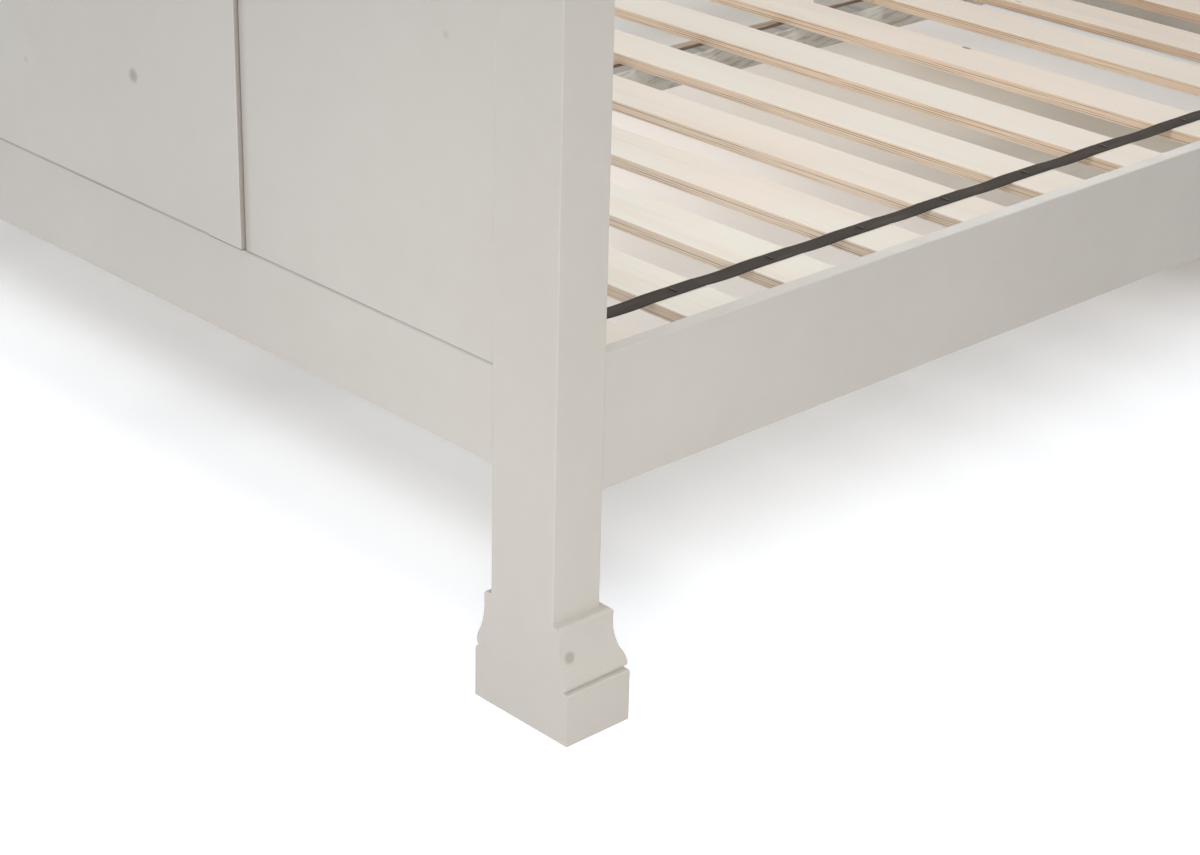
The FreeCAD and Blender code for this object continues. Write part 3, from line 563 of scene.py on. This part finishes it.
def wood_finish(name, colours, grain_axis):
    """Planed timber whose grain runs along one axis."""
    f = Finish(name)
    pale, dark = colours
    scales = [RINGS_ALONG if axis == grain_axis else RINGS_ACROSS for axis in "xyz"]
    rings = f.cloud(f.scaled(scales), detail=4.0, roughness=0.6)
    pores = f.cloud(f.scaled([scale * PORE_FINENESS for scale in scales]), detail=2.0)
    patches = f.cloud(f.place, detail=1.0, scale=3.0)
    colour = f.stain(pale, dark, f.blend(rings, patches, share=0.7), start=0.36, end=0.64)
    colour = f.stain(colour, dark, pores, start=0.5, end=0.7, strength=0.3)
    f.bump(f.blend(rings, pores, share=0.5), depth=0.2 * MM, strength=0.5)
    return f.set(Base_Color=colour, Roughness=0.68, Specular_IOR_Level=0.3)


# Centre rail

RAIL_SIDE = (0.84, 0.82, 0.76)
RAIL_SIDE_STREAK = (0.56, 0.545, 0.49)
RAIL_SIDE_FIBRE = (0.66, 0.645, 0.59)
RAIL_TAUPE = (0.46, 0.38, 0.30)
RAIL_TAUPE_DARK = (0.30, 0.23, 0.17)
# The top's grey, a darker copy of the side's grey, is painted shade
RAIL_GREY = (0.40, 0.385, 0.345)
RAIL_GREY_DARK = (0.27, 0.26, 0.23)
RAIL_STRIP_SHADOW = (0.11, 0.07, 0.045)

# The patterns on the rail, as scales in X, Y and Z. Streaks and fibres slant: they rise with Y.
RAIL_STREAK_SCALES = (1.0, 22.0, 150.0)
RAIL_FIBRE_SCALES = (90.0, 30.0, 500.0)
RAIL_GRAIN_SCALES = (160.0, 14.0, 1.0)
STREAK_SLANT = 0.12

# The dark strip of painted shadow along the rail's top, in X between taupe and grey, its ragged
# edges, and how far it bends over towards the foot
STRIP_START = (-8 * MM, -6 * MM)
STRIP_STOP = (3 * MM, 5 * MM)
STRIP_RAGGED = 8 * MM
STRIP_EDGE_SCALES = (20.0, 9.0, 1.0)
STRIP_BEND = 12 * MM
STRIP_BEND_ZONE = (0.0, 0.2)


def rail_top_colour(f, streaks):
    """The centre rail's top in strips: taupe, dark brown painted shadow and grey painted shade."""
    grain = f.cloud(f.scaled(RAIL_GRAIN_SCALES), detail=3.0, roughness=0.6)
    taupe = f.stain(RAIL_TAUPE, RAIL_TAUPE_DARK, grain, start=0.42, end=0.62)
    grey = f.stain(RAIL_GREY, RAIL_GREY_DARK, streaks, start=0.45, end=0.66)
    ragged = f.swing(f.cloud(f.scaled(STRIP_EDGE_SCALES), detail=2.0), STRIP_RAGGED)
    across = f.add(f.x, ragged, f.steps(f.y, *STRIP_BEND_ZONE, 0.0, STRIP_BEND))
    top = f.stain(taupe, grey, across, *STRIP_START)
    return f.mix(f.band(across, STRIP_START, STRIP_STOP), top, RAIL_STRIP_SHADOW)


def centre_rail_finish():
    """Planed board with streaked grey sides and a top in strips, partly painted shade."""
    f = Finish("centre_rail_wood")
    slanted = f.x, f.y, f.minus(f.z, f.times(f.y, STREAK_SLANT))
    streaks = f.cloud(f.stretched(slanted, RAIL_STREAK_SCALES), detail=3.0, roughness=0.6)
    fibres = f.cloud(f.stretched(slanted, RAIL_FIBRE_SCALES), detail=3.0)
    side = f.stain(RAIL_SIDE, RAIL_SIDE_STREAK, streaks, start=0.45, end=0.66)
    side = f.stain(side, RAIL_SIDE_FIBRE, fibres, start=0.45, end=0.7, strength=0.35)
    colour = f.mix(f.facing_up(), side, rail_top_colour(f, streaks))
    f.bump(f.blend(streaks, fibres, share=0.6), depth=0.3 * MM, strength=0.6)
    return f.set(Base_Color=colour, Roughness=0.7, Specular_IOR_Level=0.3)


# Webbing

WEB_DARK = (0.022, 0.016, 0.012)
WEB_THREAD = (0.050, 0.038, 0.028)
WEB_FUZZ = (0.070, 0.054, 0.042)
WEB_WORN = (0.085, 0.066, 0.050)
WEB_RIM = (0.022, 0.019, 0.017)
WEAR_SCALES = (60.0, 9.0, 1.0)

# The weave: pitch and height of its threads about a middle level, how many legs its zigzag has
# in a half width, the fuzz on it, and the rim, which grows between two shares of the half width
WEFT_PITCH = 1.3 * MM
WEFT_HEIGHT = 0.3
WARP_PITCH = 0.9 * MM
WARP_HEIGHT = 0.2
WEAVE_LEVEL = 0.5
ZIGZAGS_PER_HALF = 3
FUZZ_HEIGHT = 0.4
RIM_START = 0.82
RIM_END = 0.95


def webbing_finish():
    """Charcoal webbing: a fine herringbone weave with firmer selvedges."""
    f = Finish("webbing")
    low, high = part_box("slat_tape_right")
    half = (high.x - low.x) / 2
    across = f.absolute(f.minus(f.absolute(f.x), (low.x + high.x) / 2))
    zigzag = f.calc("PINGPONG", across, half / ZIGZAGS_PER_HALF)
    weft = f.wave(f.add(f.y, zigzag), WEFT_PITCH)
    warp = f.wave(f.x, WARP_PITCH)
    weave = f.add(f.times(weft, WEFT_HEIGHT), f.times(warp, WARP_HEIGHT), WEAVE_LEVEL)
    fuzz = f.cloud(f.place, detail=3.0, scale=900.0)
    wear = f.cloud(f.scaled(WEAR_SCALES), detail=2.0)
    colour = f.stain(WEB_DARK, WEB_THREAD, weave, start=0.2, end=0.9)
    colour = f.stain(colour, WEB_FUZZ, fuzz, start=0.4, end=0.8, strength=0.4)
    colour = f.stain(colour, WEB_WORN, wear, start=0.45, end=0.7, strength=0.5)
    colour = f.stain(colour, WEB_RIM, across, half * RIM_START, half * RIM_END, strength=0.4)
    f.bump(f.add(weave, f.times(fuzz, FUZZ_HEIGHT)), depth=0.35 * MM, strength=0.8)
    return f.set(Base_Color=colour, Roughness=0.86, Specular_IOR_Level=0.25,
                 Sheen_Weight=0.06)


# Metal and nylon

ZINC = (0.60, 0.60, 0.62)
ZINC_DARK = (0.48, 0.48, 0.49)
WIRE = (0.13, 0.125, 0.12)
WIRE_SCUFF = (0.07, 0.067, 0.065)
NYLON = (0.035, 0.035, 0.036)
NYLON_PALE = (0.055, 0.054, 0.053)


def steel_finish():
    """Zinc plated steel with a faint spangle."""
    f = Finish("zinc_steel")
    spangle = f.cloud(f.place, detail=3.0, scale=420.0)
    smear = f.cloud(f.place, detail=2.0, scale=38.0)
    colour = f.stain(ZINC, ZINC_DARK, spangle, start=0.35, end=0.7)
    dullness = f.blend(spangle, smear, share=0.5)
    rough = f.steps(dullness, low=0.3, high=0.7, out_low=0.28, out_high=0.48)
    f.bump(spangle, depth=0.05 * MM, strength=0.5)
    return f.set(Base_Color=colour, Roughness=rough, Metallic=1.0)


def staple_finish():
    """Dulled grey wire, a little darker where it is scuffed."""
    f = Finish("staple_wire")
    scuff = f.cloud(f.place, detail=3.0, scale=900.0)
    colour = f.stain(WIRE, WIRE_SCUFF, scuff, start=0.35, end=0.7)
    f.bump(scuff, depth=0.05 * MM, strength=0.5)
    return f.set(Base_Color=colour, Roughness=0.5, Metallic=1.0)


def nylon_finish():
    """Moulded dark nylon with a fine spark texture."""
    f = Finish("nylon")
    grain = f.cloud(f.place, detail=3.0, scale=1500.0)
    tone = f.cloud(f.place, detail=2.0, scale=60.0)
    colour = f.stain(NYLON, NYLON_PALE, tone, start=0.3, end=0.7)
    f.bump(grain, depth=0.1 * MM, strength=0.5)
    rough = f.steps(grain, low=0.3, high=0.7, out_low=0.42, out_high=0.6)
    return f.set(Base_Color=colour, Roughness=rough, Specular_IOR_Level=0.45)


def dress_nodes():
    """Every CAD node gets the finish of its material slot in the record, but for a few."""
    paint = paint_finish()
    by_slot = {
        "grey_paint": paint,
        "filler": paint,
        "plywood": plywood_finish(),
        "timber": wood_finish("timber", PINE, "y"),
        "beech": wood_finish("beech", BEECH, "x"),
        "zinc_steel": steel_finish(),
        "nylon": nylon_finish(),
    }
    by_node = {
        "centre_rail": centre_rail_finish(),
        "headboard_batten": paint,
        "tape_staples": staple_finish(),
    }
    for part in frame["record"]["subparts"]:
        name = part["node"]
        finish = by_node.get(name) or by_slot.get(part["material_slot"])
        if finish is not None:
            for slot in frame["nodes"][name].material_slots:
                slot.material = finish


# Webbing tapes

TAPE_STEP = 4 * MM
TAPE_SAG = 1.1 * MM
TAPE_SAG_POWER = 0.7
TAPE_WANDER = 0.7 * MM
TAPE_LIFT = 0.5 * MM
TAPE_DIMPLE = 0.12 * MM
STAPLE_REACH = 7 * MM

# The points of a cross-section: shares of the half width, and of the thickness there
ACROSS_SHARES = (-1.0, -0.965, -0.8, -0.4, 0.0, 0.4, 0.8, 0.965, 1.0)
RIM_SHARES = (0.35, 0.85, 1.0, 0.95, 0.95, 0.95, 1.0, 0.85, 0.35)

# How fast the noise goes along the tape, for the wander and for the lift
SEED_PER_METRE = 7
WANDER_PACE = 1.3
LIFT_PACE = 2.1
LIFT_SEED = Vector((0, 0, 5))


def slat_names():
    """The nodes of the slats, from the headboard on."""
    return [name for name in sorted(frame["nodes"])
            if name.startswith("slat_") and name[len("slat_"):].isdigit()]


def slat_spans():
    """The low and high Y of every slat, from the headboard on."""
    return [(low.y, high.y) for low, high in map(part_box, slat_names())]


def tape_dip(y, spans):
    """How far the tape hangs below the slats at y, and how near it is to a staple."""
    for start, end in spans:
        if start <= y <= end:
            return 0.0, max(0.0, 1 - abs(y - (start + end) / 2) / STAPLE_REACH)
    for (_, end), (start, _) in zip(spans, spans[1:]):
        if end < y < start:
            share = (y - end) / (start - end)
            return TAPE_SAG * math.sin(math.pi * share) ** TAPE_SAG_POWER, 0.0
    return 0.0, 0.0


def tape_ring(mesh, low, high, y, spans):
    """The tape's cross-section at y: the top one way across, the underside the other way."""
    middle = (low.x + high.x) / 2
    half = (high.x - low.x) / 2
    thick = high.z - low.z
    dip, dimple = tape_dip(y, spans)
    seed = Vector((middle, y * SEED_PER_METRE, 0))
    wander = TAPE_WANDER * noise.noise(seed * WANDER_PACE)
    tilt = TAPE_LIFT * noise.noise(seed * LIFT_PACE + LIFT_SEED) * (1 - dimple)
    top, bottom = [], []
    for share, rim in zip(ACROSS_SHARES, RIM_SHARES):
        x = middle + wander + half * share
        rise = low.z - dip + max(0.0, tilt * share)
        body = thick * rim
        top.append(mesh.verts.new((x, y, rise + (thick + body) / 2 - TAPE_DIMPLE * dimple)))
        bottom.append(mesh.verts.new((x, y, rise + (thick - body) / 2)))
    return top + bottom[::-1]


def tape_data(name, low, high):
    """The tape's mesh: cross-sections from end to end, joined and closed."""
    mesh = bmesh.new()
    spans = slat_spans()
    count = round((high.y - low.y) / TAPE_STEP)
    rings = []
    for index in range(count + 1):
        y = low.y + (high.y - low.y) * index / count
        rings.append(tape_ring(mesh, low, high, y, spans))
    for ring, after in zip(rings, rings[1:]):
        for index in range(len(ring)):
            following = (index + 1) % len(ring)
            mesh.faces.new((ring[index], ring[following], after[following], after[index]))
    mesh.faces.new(rings[0][::-1])
    mesh.faces.new(rings[-1])
    bmesh.ops.recalc_face_normals(mesh, faces=mesh.faces)
    for face in mesh.faces:
        face.smooth = True
    data = bpy.data.meshes.new(name)
    mesh.to_mesh(data)
    mesh.free()
    return data


def add_tape(side, material):
    """A woven tape stapled along the slats, slack between them."""
    node = f"slat_tape_{side}"
    low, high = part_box(node)
    data = tape_data(f"tape_{side}", low, high)
    data.materials.append(material)
    piece = add_object(f"tape_{side}", data)
    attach(piece, "root")
    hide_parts(node)


# Studio: floor, world and lamps

FLOOR_SIZE = 120
FLOOR_COLOUR = (0.80, 0.80, 0.80)
# The floor's darker, warmer colour in front of the footboard: painted shade
PAINTED_FOOT_SHADE_COLOUR = (0.78, 0.72, 0.63)
WORLD_LIGHT = 0.33
SIGHT_RAYS = ("Is Camera Ray", "Is Glossy Ray", "Is Transmission Ray")

# How much the floor is lifted towards white, at distances inside and outside the footprint
# Less glow under the bed paints shade over the floor's real shadow there
LIFT_DEEP = 0.30
LIFT_UNDER = 0.12
LIFT_EDGE = 0.63
LIFT_OPEN = 0.77
DEEP_REACH = 1.2
SHADE_REACH = 0.40
OPEN_REACH = 0.9

# The painted shade reaches out past the two far sides. It is deepest in front of the footboard, less
# so on the left, and a little deeper at the left below the headboard. Painted light off the slats
# warms it.
FAR_SHADE_REACH = 0.55
FAR_SIDE_STEEPNESS = 1.5
FOOT_SHADE = 0.26
FOOT_SHADE_START = 0.15
FOOT_SHADE_END = 0.08
FOOT_SHADE_LEFT_SHARE = 0.6
LEFT_END = -0.7
LEFT_START = -0.4
HEAD_SHADE = 0.08
HEAD_SHADE_START = 0.1
HEAD_SHADE_END = -0.3
WARM_SHADE = (1.12, 0.97, 0.84)
COOL_SHADE = (0.95, 1.0, 1.06)
WARM_REACH = 0.75


def sight_rays(nodes, links):
    """1 for camera, glossy and transmission rays, 0 for the rays that light the object."""
    path = nodes.new("ShaderNodeLightPath")
    seen = path.outputs[SIGHT_RAYS[0]]
    for name in SIGHT_RAYS[1:]:
        either = nodes.new("ShaderNodeMath")
        either.operation = "MAXIMUM"
        links.new(seen, either.inputs[0])
        links.new(path.outputs[name], either.inputs[1])
        seen = either.outputs[0]
    return seen


def footprint_distance(f):
    """Signed distance outside the painted shade: the bed's footprint, and some way past its far
    sides.
    """
    post_low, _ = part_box("headboard_post_left")
    _, post_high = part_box("footboard_post_right")
    near = f.most(f.minus(f.x, post_high.x), f.minus(post_low.y, f.y))
    far = f.most(f.minus(post_low.x - FAR_SHADE_REACH, f.x),
                 f.minus(f.y, post_high.y + FAR_SHADE_REACH))
    return f.most(near, f.times(far, FAR_SIDE_STEEPNESS))


def foot_shade(f, inside):
    """1 where the painted shade in front of the footboard is deepest."""
    foot_low, foot_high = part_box("footboard_bottom_rail")
    before_foot = f.steps(f.y, FOOT_SHADE_START, foot_low.y)
    past_foot = f.falls(f.y, foot_high.y, foot_high.y + FOOT_SHADE_END)
    left_share = f.steps(f.x, LEFT_END, LEFT_START, FOOT_SHADE_LEFT_SHARE, 1.0)
    return f.times(before_foot, past_foot, inside, left_share)


def head_shade(f, inside):
    """How much deeper the painted shade is at the left below the headboard."""
    along = f.steps(f.y, HEAD_SHADE_END, HEAD_SHADE_START, HEAD_SHADE, 0.0)
    return f.times(along, f.falls(f.x, LEFT_START, 0.0), inside)


def floor_finish():
    """A diffuse floor that glows to the camera, most of all away from the bed, and paints shade
    under it.
    """
    f = Finish("floor")
    f.nodes.remove(f.shader)
    outside = footprint_distance(f)
    inside = f.falls(outside, -SHADE_REACH, 0.0)
    at_foot = foot_shade(f, inside)
    lift = f.add(f.steps(outside, -SHADE_REACH, 0.0, LIFT_UNDER, LIFT_EDGE),
                 f.steps(outside, 0.0, OPEN_REACH, 0.0, LIFT_OPEN - LIFT_EDGE),
                 f.steps(outside, -DEEP_REACH, -SHADE_REACH, LIFT_DEEP - LIFT_UNDER, 0.0),
                 f.times(at_foot, -FOOT_SHADE),
                 f.times(head_shade(f, inside), -1.0))
    diffuse = f.nodes.new("ShaderNodeBsdfDiffuse")
    # Darker, warmer colour in front of the footboard: painted shade
    f.feed(diffuse.inputs["Color"], f.mix(at_foot, FLOOR_COLOUR, PAINTED_FOOT_SHADE_COLOUR))
    glow = f.nodes.new("ShaderNodeEmission")
    # Warm glow in the deep shade: painted light off the slats
    f.feed(glow.inputs["Color"], f.stain(WARM_SHADE, COOL_SHADE, outside, -WARM_REACH, -SHADE_REACH))
    f.feed(glow.inputs["Strength"], f.times(f.most(lift, 0.0), sight_rays(f.nodes, f.links)))
    both = f.nodes.new("ShaderNodeAddShader")
    for socket, shader in zip(both.inputs, (diffuse, glow)):
        f.feed(socket, shader.outputs[0])
    f.feed(f.nodes["Material Output"].inputs["Surface"], both.outputs[0])
    return f.material


def add_floor():
    """A pale floor that reads as white away from the object and keeps its shadow, deepened by
    painted shade.
    """
    data = bpy.data.meshes.new("floor")
    half = FLOOR_SIZE / 2
    corners = [(-half, -half, 0), (half, -half, 0), (half, half, 0), (-half, half, 0)]
    data.from_pydata(corners, [], [(0, 1, 2, 3)])
    data.materials.append(floor_finish())
    floor = add_object("floor", data)


def add_world():
    """A world that is white to the camera and weaker as a light."""
    world = bpy.data.worlds.new("studio")
    world.use_nodes = True
    bpy.context.scene.world = world
    nodes, links = world.node_tree.nodes, world.node_tree.links
    background = nodes["Background"]
    background.inputs["Color"].default_value = (1, 1, 1, 1)
    strength = nodes.new("ShaderNodeMapRange")
    strength.inputs["To Min"].default_value = WORLD_LIGHT
    strength.inputs["To Max"].default_value = 1
    links.new(sight_rays(nodes, links), strength.inputs["Value"])
    links.new(strength.outputs[0], background.inputs["Strength"])


NEUTRAL = (1.0, 1.0, 1.0)
WARM = (1.0, 0.96, 0.91)
COOL = (0.96, 1.0, 1.08)

# Name, place, target, size, power in watts, beam angle in degrees and colour of each soft lamp
LAMPS = (
    ("low", (2.05, -2.55, 0.7), (0.62, -1.08, 0.28), 0.9, 2.9, 62, WARM),
    ("high", (2.3, -2.8, 2.4), (0.76, -1.0, 0.3), 2.0, 3, 180, NEUTRAL),
    ("back", (-0.4, -3.5, 0.7), (0.0, -1.09, 0.2), 1.2, 2.7, 80, COOL),
    ("side", (3.4, -0.9, 0.8), (0.8, -0.3, 0.2), 1.2, 2.2, 80, WARM),
    ("above", (0.85, -0.9, 3.4), (0.4, 0.2, 0.36), 1.6, 46, 180, NEUTRAL),
    ("front", (-2.0, 4.6, 0.8), (0.0, 1.0, 0.35), 2.4, 105, 180, NEUTRAL),
    ("far_side", (-4.0, -0.6, 0.9), (-0.78, 0.1, 0.35), 2.4, 75, 180, NEUTRAL),
)


def add_lamps():
    """Square soft lamps that no camera sees."""
    for name, place, target, size, power, beam, colour in LAMPS:
        lamp = bpy.data.lights.new(name, "AREA")
        lamp.shape = "SQUARE"
        lamp.size = size
        lamp.energy = power
        lamp.spread = math.radians(beam)
        lamp.color = colour
        thing = add_object(name, lamp)
        away = Vector(place) - Vector(target)
        thing.rotation_euler = away.to_track_quat("Z", "Y").to_euler()
        thing.location = place
        thing.visible_camera = False


add_camera()
dress_nodes()
webbing = webbing_finish()
add_tape("left", webbing)
add_tape("right", webbing)
add_floor()
add_world()
add_lamps()
bpy.context.scene.view_settings.view_transform = "Standard"
